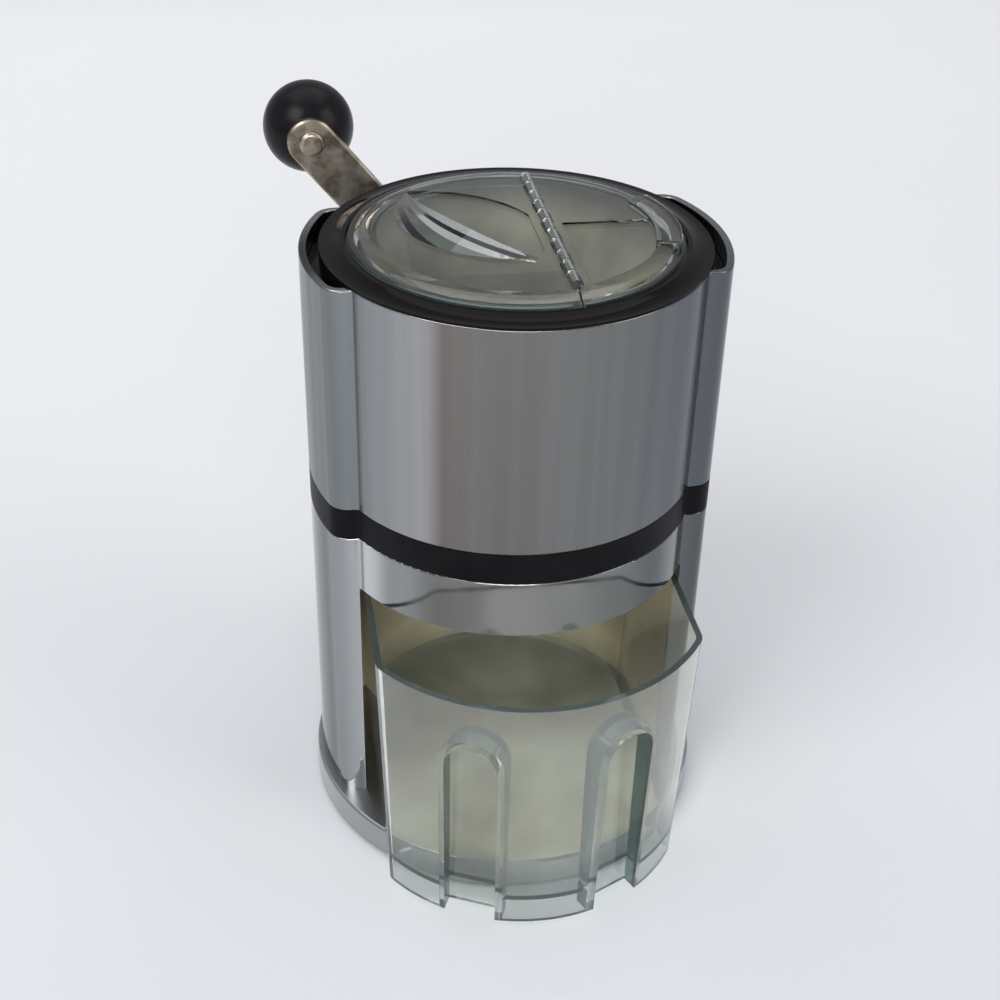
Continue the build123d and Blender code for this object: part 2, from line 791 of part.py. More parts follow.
with BuildPart() as lid_cover:
    add(lid_disc(-1))
    with BuildSketch(Plane.XY.offset(lid_bottom)):
        Circle(lid_skirt_radius)
        Circle(lid_skirt_radius - lid_thickness, mode=Mode.SUBTRACT)
        with Locations((flap_line - flap_gap, 0)):
            Rectangle(2 * lid_radius, 2 * lid_radius, align=(Align.MIN, Align.CENTER), mode=Mode.SUBTRACT)
    extrude(amount=-lid_skirt_drop)
    with BuildSketch(Plane.XY.offset(plateau_z)):
        with Locations(grip_centre):
            Circle(grip_radius)
        with Locations(dish_centre):
            Circle(dish_radius, mode=Mode.INTERSECT)
        with Locations((flap_line - panel_margin, 0)):
            Rectangle(2 * lid_radius, 2 * lid_radius, align=(Align.MIN, Align.CENTER), mode=Mode.SUBTRACT)
    extrude(amount=-panel_depth, mode=Mode.SUBTRACT)
    add(grip.part)
    add(knuckles(1, knuckle_radius + knuckle_gap, 0), mode=Mode.SUBTRACT)
    add(knuckles(0, knuckle_radius, knuckle_gap))
    with BuildSketch(facing_back(hinge_z, hinge_front)):
        with Locations((-flap_line, 0)):
            Circle(pin_radius + running_gap)
    extrude(amount=hinge_length, mode=Mode.SUBTRACT)

with BuildPart() as flap_bar:
    with BuildSketch(Plane.XY.offset(lid_bottom + lid_thickness / 2)):
        with BuildLine():
            bar_start = flap_bar_angle - flap_bar_sweep / 2
            bar_outer = lid_radius - flap_bar_inset
            outer = CenterArc((0, 0), bar_outer, bar_start, flap_bar_sweep)
            inner = CenterArc((0, 0), bar_outer - flap_bar_width, bar_start, flap_bar_sweep)
            Line(outer @ 0, inner @ 0)
            Line(outer @ 1, inner @ 1)
        make_face()
    extrude(amount=plateau_z + flap_bar_rise - lid_bottom - lid_thickness / 2)
    fillet(flap_bar.edges().filter_by(Axis.Z), 2 * flap_bar_edge)
    fillet(flap_bar.edges().group_by(Axis.Z)[-1], flap_bar_edge)

with BuildPart() as lid_flap:
    add(lid_disc(1))
    with BuildSketch(Plane.XY.offset(plateau_z)):
        Circle(lid_plateau - panel_edge)
        with Locations((flap_line + panel_margin, panel_back)):
            Rectangle(lid_radius, 2 * lid_radius, align=(Align.MIN, Align.MAX), mode=Mode.INTERSECT)
    extrude(amount=-panel_depth, mode=Mode.SUBTRACT)
    add(flap_bar.part)
    add(knuckles(0, knuckle_radius + knuckle_gap, 0), mode=Mode.SUBTRACT)
    add(knuckles(1, knuckle_radius, knuckle_gap))
    with BuildSketch(facing_back(hinge_z, hinge_front)):
        with Locations((-flap_line, 0)):
            Circle(pin_radius + running_gap)
    extrude(amount=hinge_length, mode=Mode.SUBTRACT)

with BuildPart() as flap_pin:
    with BuildSketch(facing_back(hinge_z, hinge_front)):
        with Locations((-flap_line, 0)):
            Circle(pin_radius)
    extrude(amount=hinge_length)

# ---------------------------------------------------------------- crank

with BuildPart() as crank_arm:
    with BuildSketch(facing_back(axle_z, arm_front)) as arm_plan:
        with Locations(Location((0, 0), 180 - arm_angle)):
            with Locations((arm_length / 2, 0)):
                SlotCenterToCenter(arm_length, arm_width)
        Circle(arm_hub_width / 2)
        Rectangle(crank_square + 2 * running_gap, crank_square + 2 * running_gap, mode=Mode.SUBTRACT)
        with Locations((arm_run, arm_rise)):
            Circle(spindle_radius + running_gap, mode=Mode.SUBTRACT)
    extrude(amount=arm_thickness)
    chamfer(crank_arm.faces().sort_by(Axis.Y)[-1].outer_wire().edges(), arm_edge)
    chamfer(crank_arm.faces().sort_by(Axis.Y)[0].outer_wire().edges(), arm_edge)

with BuildPart() as thrust_washer:
    with BuildSketch(facing_back(axle_z, arm_front - washer_thickness)):
        Circle(washer_radius)
        Circle(journal_radius + running_gap, mode=Mode.SUBTRACT)
    extrude(amount=washer_thickness)

with BuildPart() as crank_washer:
    with BuildSketch(facing_back(axle_z, arm_back)):
        Circle(washer_radius)
        Circle(thread_radius + running_gap, mode=Mode.SUBTRACT)
    extrude(amount=washer_thickness)

with BuildPart() as cap_nut:
    with BuildSketch(facing_back(axle_z, arm_back + washer_thickness)):
        RegularPolygon(nut_flats / 2, 6, major_radius=False)
    extrude(amount=nut_height)
    with BuildSketch(facing_back(axle_z, arm_back + washer_thickness + nut_height)):
        Circle(nut_flats / 2)
    extrude(amount=nut_dome)
    fillet(cap_nut.edges().group_by(Axis.Y)[-1], nut_dome - end_play)
    with BuildSketch(facing_back(axle_z, arm_back + washer_thickness)):
        Circle(thread_radius + running_gap)
    extrude(amount=nut_height + end_play, mode=Mode.SUBTRACT)

# ---------------------------------------------------------------- knob

knob_face = arm_back + knob_gap
knob_middle = knob_face + knob_flat
collar_start = arm_back + spindle_length

with BuildPart() as knob_spindle:
    with BuildSketch(facing_back(knob_pivot[1], arm_front - spindle_head_height)):
        with Locations((arm_run, 0)):
            Circle(spindle_head_radius)
    extrude(amount=spindle_head_height)
    fillet(knob_spindle.edges().group_by(Axis.Y)[0], spindle_head_height - end_play)
    with BuildSketch(facing_back(knob_pivot[1], arm_front)):
        with Locations((arm_run, 0)):
            Circle(spindle_radius)
    extrude(amount=arm_thickness + spindle_length)
    with BuildSketch(facing_back(knob_pivot[1], collar_start)):
        with Locations((arm_run, 0)):
            Circle(spindle_collar_radius)
    extrude(amount=spindle_collar_length)

with BuildPart() as ball_knob:
    with Locations((knob_pivot[0], knob_middle, knob_pivot[1])):
        Sphere(knob_radius)
    with BuildSketch(facing_back(knob_pivot[1], knob_face)):
        with Locations((arm_run, 0)):
            Rectangle(4 * knob_radius, 4 * knob_radius)
    extrude(amount=-knob_radius, mode=Mode.SUBTRACT)
    fillet(ball_knob.edges().group_by(Axis.Y)[0], 0.8)
    with BuildSketch(facing_back(knob_pivot[1], knob_face)):
        with Locations((arm_run, 0)):
            Circle(spindle_radius + running_gap)
    extrude(amount=spindle_length, mode=Mode.SUBTRACT)
    with BuildSketch(facing_back(knob_pivot[1], collar_start - end_play)):
        with Locations((arm_run, 0)):
            Circle(spindle_collar_radius + running_gap)
    extrude(amount=spindle_collar_length + 2 * end_play, mode=Mode.SUBTRACT)

# ---------------------------------------------------------------- colours, labels and files

plated = Color(0.75, 0.76, 0.78)
black = Color(0.05, 0.05, 0.05)
clear = Color(0.85, 0.88, 0.85, 0.4)
steel = Color(0.6, 0.6, 0.6)
olive = Color(0.5, 0.48, 0.4)
brown = Color(0.45, 0.38, 0.3)

pieces = {
    "rest_pad": (rest_pad, black),
    "base_plate": (base_plate, black),
    "base_plinth": (plinth, plated),
    "base_screws": (base_screws, steel),
    "lower_housing": (lower_housing, plated),
    "housing_screws": (housing_screws, steel),
    "bay_liner": (bay_liner, brown),
    "ice_cup": (ice_cup, clear),
    "mid_frame": (mid_frame, black),
    "upper_shell": (upper_shell, plated),
    "frame_screws": (frame_screws, steel),
    "crush_chamber": (crush_chamber, olive),
    "fixed_comb_left": (combs[0], steel),
    "fixed_comb_right": (combs[1], steel),
    "front_bush": (front_bush, olive),
    "rear_bush": (rear_bush, olive),
    "rear_boss": (rear_boss, black),
    "crank_bearing": (crank_bearing, olive),
    "rotor_shaft": (rotor_shaft, steel),
    "blade_spacers": (blade_spacers, olive),
    "hopper": (hopper, olive),
    "top_ring": (top_ring, black),
    "lid_cover": (lid_cover, clear),
    "lid_flap": (lid_flap, clear),
    "flap_pin": (flap_pin, steel),
    "crank_arm": (crank_arm, steel),
    "thrust_washer": (thrust_washer, steel),
    "crank_washer": (crank_washer, steel),
    "cap_nut": (cap_nut, steel),
    "knob_spindle": (knob_spindle, steel),
    "ball_knob": (ball_knob, black),
}
for i in range(blade_count):
    pieces[f"blade_{i + 1}"] = (blades[i], steel)

for name, (piece, colour) in pieces.items():
    piece.part.label = name
    piece.part.color = colour
    export_step(piece.part, f"parts/{name}.step")
    print(name, len(piece.part.solids()), round(piece.part.volume / 1000, 2), "cm3")
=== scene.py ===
# %% [markdown]
# # A hand cranked ice crusher
# The crusher is a plated drum with a wing on each side. It stands on a round plinth, with a
# clear cup in front, a clear lid on top and a crank behind. The solids come in from the CAD
# model, already in place, in metres. This file gives each of them its finish and lights the
# result. No piece is added or replaced, because the solids already hold every edge that shows.
# The size of the CAD model is kept.

# %% The frame
from math import cos, pi, radians, sin

import bmesh
import bpy
from mathutils import Matrix, Vector

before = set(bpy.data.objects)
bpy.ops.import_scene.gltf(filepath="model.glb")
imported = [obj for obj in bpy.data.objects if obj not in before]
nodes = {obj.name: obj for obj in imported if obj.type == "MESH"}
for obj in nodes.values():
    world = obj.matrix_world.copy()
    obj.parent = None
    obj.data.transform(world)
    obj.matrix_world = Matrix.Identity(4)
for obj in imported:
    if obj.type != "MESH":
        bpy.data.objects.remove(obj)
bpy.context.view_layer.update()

# %% [markdown]
# ## Building finishes
# Every finish starts from Blender's Principled shader. One finish can cover several pieces, as
# one plating bath or one plastic does. Its steady values, such as how strongly it mirrors, are
# set when it is made. The black plastics take a low shine, because black that mirrors pale
# surroundings looks grey.

# %% A new finish, and the pieces that wear it


def shader_of(finish):
    """The Principled shader of a finish."""
    return finish.node_tree.nodes["Principled BSDF"]


def new_finish(name, colour, roughness, metallic=0.0, shine=0.5):
    """A Principled material with its steady values set on the shader's own sockets."""
    finish = bpy.data.materials.new(name)
    finish.use_nodes = True
    shader = shader_of(finish)
    shader.inputs["Base Color"].default_value = (*colour, 1.0)
    shader.inputs["Roughness"].default_value = roughness
    shader.inputs["Metallic"].default_value = metallic
    shader.inputs["Specular IOR Level"].default_value = shine
    finish.diffuse_color = (*colour, 1.0)
    return finish


def wear(finish, *names):
    """Give CAD nodes this finish."""
    for name in names:
        mesh = nodes[name].data
        mesh.materials.clear()
        mesh.materials.append(finish)
    print(finish.name, "on", ", ".join(names))


# %% [markdown]
# ## Patterns and places
# A real surface is never one flat value. What changes it is a pattern, made from noise, or a
# place on the piece, such as a height. Both read Object coordinates, which stay with the piece
# when it moves. The stretch values squeeze the pattern along an axis, which is how brushing
# lines are made from plain noise.

# %% Patterns and places


def pattern(finish, scale, stretch=(1, 1, 1), detail=3.0):
    """Noise on Object coordinates, stretched along the axes, as a value from 0 to 1."""
    tree = finish.node_tree
    coordinates = tree.nodes.new("ShaderNodeTexCoord")
    mapping = tree.nodes.new("ShaderNodeMapping")
    mapping.inputs["Scale"].default_value = stretch
    noise = tree.nodes.new("ShaderNodeTexNoise")
    noise.inputs["Scale"].default_value = scale
    noise.inputs["Detail"].default_value = detail
    tree.links.new(coordinates.outputs["Object"], mapping.inputs["Vector"])
    tree.links.new(mapping.outputs["Vector"], noise.inputs["Vector"])
    return noise.outputs["Fac"]


def spread(finish, value, low, high, floor=0.3, ceiling=0.7):
    """Stretch the middle of a 0 to 1 value so that it runs from low to high."""
    scale = finish.node_tree.nodes.new("ShaderNodeMapRange")
    scale.inputs["From Min"].default_value = floor
    scale.inputs["From Max"].default_value = ceiling
    scale.inputs["To Min"].default_value = low
    scale.inputs["To Max"].default_value = high
    finish.node_tree.links.new(value, scale.inputs["Value"])
    return scale.outputs["Result"]


def along(finish, axis, start, end, low, high):
    """A value that goes from low to high between two places, in metres, on one of the axes."""
    tree = finish.node_tree
    coordinates = tree.nodes.new("ShaderNodeTexCoord")
    split = tree.nodes.new("ShaderNodeSeparateXYZ")
    tree.links.new(coordinates.outputs["Object"], split.inputs["Vector"])
    return spread(finish, split.outputs[axis], low, high, start, end)


# %% [markdown]
# ## Colour, roughness and grain
# These helpers put a pattern or a place to use. Colour and roughness wander between two values,
# a colour can be painted darker towards one end of a piece, as shade, and a fine grain can be
# raised, as the wall of a mould leaves it.

# %% Colour, roughness and grain


def vary_colour(finish, value, dark, light):
    """Let the base colour wander between two tones, and hand that colour on."""
    tree = finish.node_tree
    mix = tree.nodes.new("ShaderNodeMix")
    mix.data_type = "RGBA"
    mix.inputs["A"].default_value = (*dark, 1.0)
    mix.inputs["B"].default_value = (*light, 1.0)
    tree.links.new(spread(finish, value, 0, 1), mix.inputs["Factor"])
    tree.links.new(mix.outputs["Result"], shader_of(finish).inputs["Base Color"])
    return mix.outputs["Result"]


def vary_roughness(finish, value, low, high):
    """Let the roughness wander between two values."""
    wandering = spread(finish, value, low, high)
    finish.node_tree.links.new(wandering, shader_of(finish).inputs["Roughness"])


def shade_colour(finish, colour, value, dark, light):
    """Paint shade: multiply a colour by a tone that goes from dark to light with the value."""
    tree = finish.node_tree
    tone = tree.nodes.new("ShaderNodeMix")
    tone.data_type = "RGBA"
    tone.inputs["A"].default_value = (*dark, 1.0)
    tone.inputs["B"].default_value = (*light, 1.0)
    tree.links.new(value, tone.inputs["Factor"])
    product = tree.nodes.new("ShaderNodeMix")
    product.data_type = "RGBA"
    product.blend_type = "MULTIPLY"
    product.inputs["Factor"].default_value = 1.0
    tree.links.new(colour, product.inputs["A"])
    tree.links.new(tone.outputs["Result"], product.inputs["B"])
    tree.links.new(product.outputs["Result"], shader_of(finish).inputs["Base Color"])


def relief(finish, value, depth, strength=0.3):
    """Raise and sink the surface a little where the value is high and low."""
    tree = finish.node_tree
    bump = tree.nodes.new("ShaderNodeBump")
    bump.inputs["Distance"].default_value = depth
    bump.inputs["Strength"].default_value = strength
    tree.links.new(value, bump.inputs["Height"])
    tree.links.new(bump.outputs["Normal"], shader_of(finish).inputs["Normal"])


# %% [markdown]
# ## Plated metal
# The drum, the wings and the plinth are thin plated sheet. The upper drum is brushed up and
# down, so light smears along it. Its tone changes from one side to the other in upright bands,
# which are painted reflections of the surroundings. A colour ramp that follows the turn round
# the drum's axis paints the wide bands, and noise that is stretched along Z gives the fine
# lines. The painted reflections stay in place when the lamps change.

# %% Painted reflection bands round the drum
FRONT = 0.5  # the place of the drum's front on the ramp


def turn_round_drum(finish):
    """The place round the drum as a value: 0 and 1 behind, 0.5 in front, 0.75 on the right."""
    tree = finish.node_tree
    coordinates = tree.nodes.new("ShaderNodeTexCoord")
    split = tree.nodes.new("ShaderNodeSeparateXYZ")
    flip = tree.nodes.new("ShaderNodeMath")
    flip.operation = "MULTIPLY"
    flip.inputs[1].default_value = -1.0
    angle = tree.nodes.new("ShaderNodeMath")
    angle.operation = "ARCTAN2"
    tree.links.new(coordinates.outputs["Object"], split.inputs["Vector"])
    tree.links.new(split.outputs["Y"], flip.inputs[0])
    tree.links.new(split.outputs["X"], angle.inputs[0])
    tree.links.new(flip.outputs["Value"], angle.inputs[1])
    return spread(finish, angle.outputs["Value"], 0, 1, -pi, pi)


def reflection_banded_metal(finish, bands, lines_value, depth):
    """Base colour from a ramp round the drum that paints reflection bands, darkened a little by
    the brushing lines.
    """
    tree = finish.node_tree
    ramp = tree.nodes.new("ShaderNodeValToRGB")
    ramp.color_ramp.interpolation = "EASE"
    stops = ramp.color_ramp.elements
    while len(stops) < len(bands):
        stops.new(FRONT)
    for stop, (degrees_round, tone) in zip(stops, bands):
        stop.position = FRONT + degrees_round / 360
        stop.color = (*tone, 1.0)
    tree.links.new(turn_round_drum(finish), ramp.inputs["Fac"])
    lines = tree.nodes.new("ShaderNodeMix")
    lines.data_type = "RGBA"
    lines.blend_type = "MULTIPLY"
    lines.inputs["Factor"].default_value = 1.0
    tree.links.new(ramp.outputs["Color"], lines.inputs["A"])
    shade = tree.nodes.new("ShaderNodeCombineColor")
    value = spread(finish, lines_value, 1 - depth, 1)
    for channel in ("Red", "Green", "Blue"):
        tree.links.new(value, shade.inputs[channel])
    tree.links.new(shade.outputs["Color"], lines.inputs["B"])
    tree.links.new(lines.outputs["Result"], shader_of(finish).inputs["Base Color"])


# %% [markdown]
# ## The brushed drum
# Each band is an angle from the front, in degrees to the right, and a tone. The bands are painted
# reflections: dark at the edges by the wings, an even grey in front, and bright left of the front.

# %% Brushed drum
brushed_plating = new_finish("brushed_plating", (0.27, 0.27, 0.28), 0.24, 1.0)
# Painted reflections: each tone stands in for what the drum mirrors at that angle.
drum_reflection_bands = [
    (-178, (0.281, 0.292, 0.304)),
    (-116, (0.269, 0.281, 0.292)),
    (-90, (0.047, 0.053, 0.058)),
    (-78, (0.07, 0.076, 0.082)),
    (-72, (0.175, 0.187, 0.193)),
    (-64, (0.234, 0.252, 0.257)),
    (-52, (0.328, 0.345, 0.351)),
    (-35, (0.398, 0.398, 0.392)),
    (-29, (0.216, 0.193, 0.181)),
    (-16, (0.205, 0.199, 0.193)),
    (24, (0.216, 0.222, 0.216)),
    (36, (0.17, 0.181, 0.193)),
    (50, (0.099, 0.111, 0.129)),
    (60, (0.14, 0.152, 0.164)),
    (96, (0.234, 0.246, 0.257)),
    (178, (0.281, 0.292, 0.304)),
]
reflection_banded_metal(
    brushed_plating,
    drum_reflection_bands,
    pattern(brushed_plating, 260.0, stretch=(1, 1, 0.012), detail=2.0),
    depth=0.12,
)
vary_roughness(
    brushed_plating, pattern(brushed_plating, 900.0, stretch=(1, 1, 0.01), detail=2.0), 0.18, 0.3
)
wear(brushed_plating, "upper_shell")
print("bands round the drum:", len(drum_reflection_bands))

# %% [markdown]
# ## The polished lower sheet and the plinth
# The lower sheet is polished, not brushed, so its painted reflection bands are brighter and its
# lines wider. The plinth is a pressed ring in the same plating, with soft clouds instead of
# painted reflection bands.

# %% Lower sheet and plinth
polished_plating = new_finish("polished_plating", (0.28, 0.29, 0.30), 0.1, 1.0)
# Painted reflections, as on the drum: each tone stands in for what the sheet mirrors.
housing_reflection_bands = [
    (-178, (0.291, 0.302, 0.314)),
    (-110, (0.246, 0.258, 0.269)),
    (-84, (0.056, 0.062, 0.067)),
    (-74, (0.112, 0.123, 0.134)),
    (-66, (0.37, 0.381, 0.386)),
    (-58, (0.717, 0.728, 0.728)),
    (-46, (0.358, 0.37, 0.37)),
    (-28, (0.246, 0.241, 0.235)),
    (-10, (0.37, 0.364, 0.353)),
    (8, (0.347, 0.347, 0.336)),
    (24, (0.246, 0.258, 0.258)),
    (42, (0.134, 0.14, 0.146)),
    (54, (0.235, 0.246, 0.252)),
    (68, (0.09, 0.095, 0.101)),
    (100, (0.202, 0.213, 0.224)),
    (178, (0.291, 0.302, 0.314)),
]
reflection_banded_metal(
    polished_plating,
    housing_reflection_bands,
    pattern(polished_plating, 90.0, stretch=(1, 1, 0.03), detail=1.0),
    depth=0.16,
)
vary_roughness(polished_plating, pattern(polished_plating, 120.0, stretch=(1, 1, 0.1)), 0.05, 0.13)
wear(polished_plating, "lower_housing")

plinth_plating = new_finish("plinth_plating", (0.42, 0.44, 0.45), 0.12, 1.0)
vary_colour(
    plinth_plating,
    pattern(plinth_plating, 30.0, stretch=(1, 1, 0.2), detail=1.0),
    (0.34, 0.36, 0.37),
    (0.50, 0.52, 0.53),
)
vary_roughness(plinth_plating, pattern(plinth_plating, 120.0, stretch=(1, 1, 0.1)), 0.08, 0.16)
wear(plinth_plating, "base_plinth")
print("bands round the lower sheet:", len(housing_reflection_bands))

# %% [markdown]
# ## Black mouldings
# The band round the middle is a satin moulding, and the ring round the lid a glossy one. Black
# plastic still needs a fine grain, or it turns into a hole in the picture.

# %% Black band and ring
black_satin = new_finish("black_satin", (0.006, 0.006, 0.007), 0.42, shine=0.06)
vary_colour(black_satin, pattern(black_satin, 60.0), (0.004, 0.004, 0.005), (0.008, 0.0075, 0.009))
relief(black_satin, pattern(black_satin, 2400.0), 0.0002, 0.12)
wear(black_satin, "mid_frame", "rear_boss", "base_plate")

black_gloss = new_finish("black_gloss", (0.004, 0.003, 0.003), 0.12, shine=0.07)
vary_roughness(black_gloss, pattern(black_gloss, 40.0), 0.08, 0.16)
vary_colour(black_gloss, pattern(black_gloss, 30.0), (0.003, 0.002, 0.002), (0.006, 0.005, 0.004))
wear(black_gloss, "top_ring")

# %% [markdown]
# ## Clear plastic
# Lid and cup are moulded in clear acrylic. Transmission bends what is behind, with an index of
# refraction a little under acrylic's 1.49. Shadow rays pass straight through, so that the lamps
# light what is inside.

# %% Clear plastic
CLEAR_IOR = 1.45


def clear_plastic(name, colour, roughness, clarity, shine=0.5):
    """Glass like plastic that lets the lamps' light through; what is left of clarity is milky."""
    finish = new_finish(name, colour, roughness, shine=shine)
    tree = finish.node_tree
    shader = shader_of(finish)
    shader.inputs["Transmission Weight"].default_value = clarity
    shader.inputs["IOR"].default_value = CLEAR_IOR
    vary_roughness(finish, pattern(finish, 35.0), roughness * 0.6, roughness * 1.6)
    rays = tree.nodes.new("ShaderNodeLightPath")
    through = tree.nodes.new("ShaderNodeBsdfTransparent")
    through.inputs["Color"].default_value = (0.95, 0.96, 0.94, 1.0)
    choose = tree.nodes.new("ShaderNodeMixShader")
    tree.links.new(rays.outputs["Is Shadow Ray"], choose.inputs[0])
    tree.links.new(shader.outputs["BSDF"], choose.inputs[1])
    tree.links.new(through.outputs["BSDF"], choose.inputs[2])
    tree.links.new(choose.outputs["Shader"], tree.nodes["Material Output"].inputs["Surface"])
    return finish


# %% [markdown]
# ## The clear cup and lid
# The cup's colour is painted darker towards its foot, as shade where the plinth shows through the
# skirt. The lid is a little greyer and mirrors less, so that the hopper's rim shows through it.

# %% Clear cup and lid
# Heights, in metres, over which the painted shade at the cup's foot fades out upwards.
CUP_SHADE_LOW, CUP_SHADE_HIGH = 0.018, 0.03  # heights between which the tone changes

clear_cup = clear_plastic("clear_cup", (0.93, 0.94, 0.90), 0.02, 0.96)
cup_tint = vary_colour(clear_cup, pattern(clear_cup, 18.0), (0.88, 0.89, 0.84), (0.96, 0.97, 0.94))
# Painted shade at the cup's foot.
shade_colour(
    clear_cup,
    cup_tint,
    along(clear_cup, "Z", CUP_SHADE_LOW, CUP_SHADE_HIGH, 0, 1),
    (0.60, 0.63, 0.65),
    (1, 1, 1),
)
wear(clear_cup, "ice_cup")
clear_lid = clear_plastic("clear_lid", (0.86, 0.88, 0.84), 0.03, 1.0, shine=0.18)
wear(clear_lid, "lid_cover", "lid_flap")

# %% [markdown]
# ## Dark edges
# Where one looks along a clear wall instead of through it, the wall is thick and looks dark. That
# is how the cup's rim, its two flutes and the edge of the lid stand out. This dark look is
# painted:
# faces there get a second, dark finish, picked by their place and by where they face.

# %% Dark edges of the clear pieces
RIM_HEIGHT = 0.05  # above this, a face that looks up is the cup's rim
FLUTE_REACH, FLUTE_FRONT, FLUTE_TOP = 0.042, -0.06, 0.075
LID_RADIUS, GRIP_HEIGHT = 0.0485, 0.2076
LOOKS_UP, LOOKS_ROUND, STEEP = 0.7, 0.6, 0.4  # how much of the normal points up or round

# Painted shade: a dark tint that stands in for the thick wall seen edge on.
painted_dark_edge = clear_plastic("painted_dark_edge", (0.20, 0.27, 0.28), 0.16, 0.9, shine=0.25)


def second_finish(name, edge, chosen):
    """Give the faces that chosen(middle, normal) picks a second finish."""
    mesh = nodes[name].data
    mesh.materials.append(edge)
    picked = [face for face in mesh.polygons if chosen(face.center, face.normal)]
    for face in picked:
        face.material_index = 1
    print(name, "has", len(picked), "of", len(mesh.polygons), "faces in", edge.name)


def cup_edge(middle, normal):
    """The cup's rim, and the flanks of the two flutes in its front wall."""
    rim = normal.z > LOOKS_UP and middle.z > RIM_HEIGHT
    sideways = abs(-middle.y * normal.x + middle.x * normal.y) / middle.xy.length
    in_front = abs(middle.x) < FLUTE_REACH and middle.y < FLUTE_FRONT and middle.z < FLUTE_TOP
    return rim or (in_front and sideways > LOOKS_ROUND)


def lid_edge(middle, normal):
    """The lid's outer edge, and the steep sides of its grip and of its flap's bar."""
    return abs(normal.z) < STEEP and (middle.xy.length > LID_RADIUS or middle.z > GRIP_HEIGHT)


second_finish("ice_cup", painted_dark_edge, cup_edge)
second_finish("lid_cover", painted_dark_edge, lid_edge)
second_finish("lid_flap", painted_dark_edge, lid_edge)

# %% [markdown]
# ## Inside mouldings
# The funnel under the lid is an olive grey plastic, and the liner of the cup's bay a warm brown
# one. Both show through the clear pieces, so they carry soft stains rather than a sharp grain.
# The funnel is painted darker at its rim, as the lid's shade, and the liner is painted darker
# higher up the bay, as shade.

# %% Hopper and liner
RIM_SHADE, RIM_SHADE_END = 0.191, 0.2
BAY_SHADE, BAY_SHADE_END = 0.015, 0.06

olive = new_finish("olive_plastic", (0.13, 0.12, 0.09), 0.4, shine=0.25)
olive_tone = vary_colour(olive, pattern(olive, 42.0), (0.06, 0.055, 0.037), (0.19, 0.18, 0.13))
# Painted shade at the funnel's rim, under the lid.
shade_colour(
    olive,
    olive_tone,
    along(olive, "Z", RIM_SHADE, RIM_SHADE_END, 0, 1),
    (1, 1, 1),
    (0.12, 0.11, 0.11),
)
wear(olive, "hopper", "crush_chamber")

brown = new_finish("brown_plastic", (0.56, 0.46, 0.32), 0.45)
brown_tone = vary_colour(brown, pattern(brown, 26.0), (0.40, 0.31, 0.20), (0.76, 0.69, 0.53))
# Painted shade, darker higher up the bay.
shade_colour(
    brown,
    brown_tone,
    along(brown, "Z", BAY_SHADE, BAY_SHADE_END, 0, 1),
    (0.75, 0.72, 0.66),
    (0.30, 0.23, 0.16),
)
wear(brown, "bay_liner")

# %% [markdown]
# ## The bay's floor
# The floor of the bay is cream plastic, laid on the plinth. The plinth's top is one face with
# the plated rim outside the bay, so the two finishes are mixed by place: plated beyond the bay's
# side walls and behind it, cream between them.

# %% Bay floor
BAY_REACH, BAY_REACH_END = 0.0465, 0.048  # the side walls, to the left and to the right
BAY_BACK, BAY_BACK_END = 0.052, 0.0535
LEVEL, UNDER_TOP = 0.9, 0.008  # what picks the plinth's top: it is level, and above its foot

bay_floor = new_finish("bay_floor", (0.46, 0.42, 0.32), 0.3)
bay_tone = vary_colour(
    bay_floor, pattern(bay_floor, 34.0, detail=4.0), (0.30, 0.265, 0.185), (0.62, 0.59, 0.475)
)
bay_tree = bay_floor.node_tree
sides = bay_tree.nodes.new("ShaderNodeMath")
sides.operation = "ABSOLUTE"
bay_tree.links.new(along(bay_floor, "X", -1, 1, -1, 1), sides.inputs[0])
outside = bay_tree.nodes.new("ShaderNodeMath")
outside.operation = "MAXIMUM"
past_sides = spread(bay_floor, sides.outputs["Value"], 0, 1, BAY_REACH, BAY_REACH_END)
bay_tree.links.new(past_sides, outside.inputs[0])
bay_tree.links.new(along(bay_floor, "Y", BAY_BACK, BAY_BACK_END, 0, 1), outside.inputs[1])
plated = bay_tree.nodes.new("ShaderNodeMix")
plated.data_type = "RGBA"
plated.inputs["B"].default_value = (0.34, 0.36, 0.37, 1.0)
bay_tree.links.new(outside.outputs["Value"], plated.inputs["Factor"])
bay_tree.links.new(bay_tone, plated.inputs["A"])
bay_tree.links.new(plated.outputs["Result"], shader_of(bay_floor).inputs["Base Color"])
bay_tree.links.new(outside.outputs["Value"], shader_of(bay_floor).inputs["Metallic"])


def plinth_top(middle, normal):
    """The flat top of the plinth, where the cup stands."""
    return normal.z > LEVEL and middle.z > UNDER_TOP


second_finish("base_plinth", bay_floor, plinth_top)

# %% [markdown]
# ## Bushes and spacers
# What the shaft runs in is pale nylon, turned or moulded, with hardly any change in its tone.

# %% Bushes and spacers
nylon = new_finish("nylon", (0.62, 0.60, 0.52), 0.5)
vary_colour(nylon, pattern(nylon, 80.0), (0.58, 0.56, 0.48), (0.66, 0.64, 0.56))
wear(nylon, "front_bush", "rear_bush", "crank_bearing", "blade_spacers")

# %% [markdown]
# ## Steel inside
# The blades and combs are stamped steel with a fine grain, the screws and washers plainer steel.
# Little of it shows, so one finish is enough for each. The flap's pin is painted dark, as shade
# for how it looks seen through the lid.

# %% Blades, screws and pin
blade_steel = new_finish("blade_steel", (0.5, 0.5, 0.5), 0.3, 1.0)
vary_roughness(blade_steel, pattern(blade_steel, 300.0, stretch=(1, 0.1, 1)), 0.22, 0.4)
blades = [f"blade_{i}" for i in range(1, 6)]
wear(blade_steel, "rotor_shaft", "fixed_comb_left", "fixed_comb_right", *blades)

